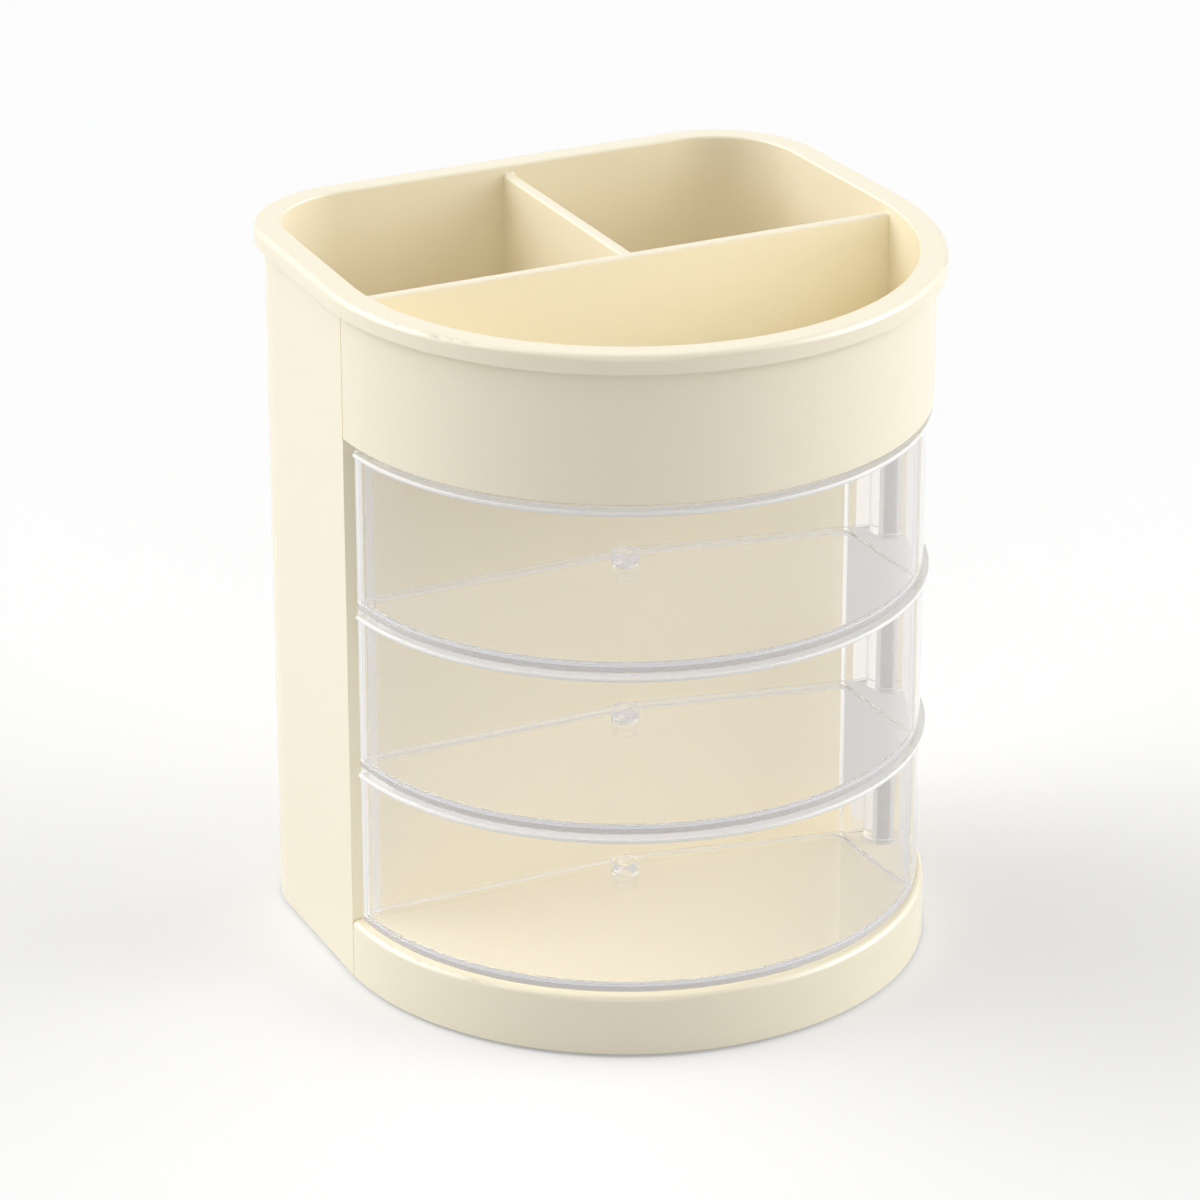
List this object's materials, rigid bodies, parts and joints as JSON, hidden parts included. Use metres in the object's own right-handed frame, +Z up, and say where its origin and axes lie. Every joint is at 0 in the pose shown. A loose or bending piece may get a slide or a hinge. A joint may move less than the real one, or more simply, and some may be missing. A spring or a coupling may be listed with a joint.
{
  "type": "pen holder with drawers",
  "caption": "Round-fronted desk pen holder: deep pen pockets behind, a shallow pocket in front, and clear half-moon trays below that swing out on one rod.",
  "frame": {"origin": "on the surface it stands on, under the middle of the outline", "axes": "+Z up, the rounded front with the trays towards -Y, the trays' rod on the +X side"},
  "size_m": [0.1336, 0.1295, 0.1559],
  "materials": {
    "cream_plastic": "satin moulded",
    "clear_plastic": "clear polished",
    "rod_steel": "ground pin",
    "screw_steel": "zinc plated",
    "rubber": "matt"
  },
  "bodies": {
    "holder": {"housing": "cream_plastic", "pen_insert": "cream_plastic", "base": "cream_plastic", "pivot_rod": "rod_steel", "base_screws": "screw_steel", "foot_pad_front_left": "rubber", "foot_pad_front_right": "rubber", "foot_pad_rear_left": "rubber", "foot_pad_rear_right": "rubber"},
    "tray_bottom": {"tray_bottom": "clear_plastic"},
    "tray_middle": {"tray_middle": "clear_plastic"},
    "tray_top": {"tray_top": "clear_plastic"}
  },
  "joints": [
    {"name": "tray_bottom_swing", "type": "hinge", "parent": "holder", "child": "tray_bottom", "pos_m": [0.05603, -0.01495, 0.032], "axis": [0, 0, 1], "range_deg": [0, 120]},
    {"name": "tray_middle_swing", "type": "hinge", "parent": "holder", "child": "tray_middle", "pos_m": [0.05603, -0.01495, 0.068], "axis": [0, 0, 1], "range_deg": [0, 120]},
    {"name": "tray_top_swing", "type": "hinge", "parent": "holder", "child": "tray_top", "pos_m": [0.05603, -0.01495, 0.104], "axis": [0, 0, 1], "range_deg": [0, 120]}
  ]
}
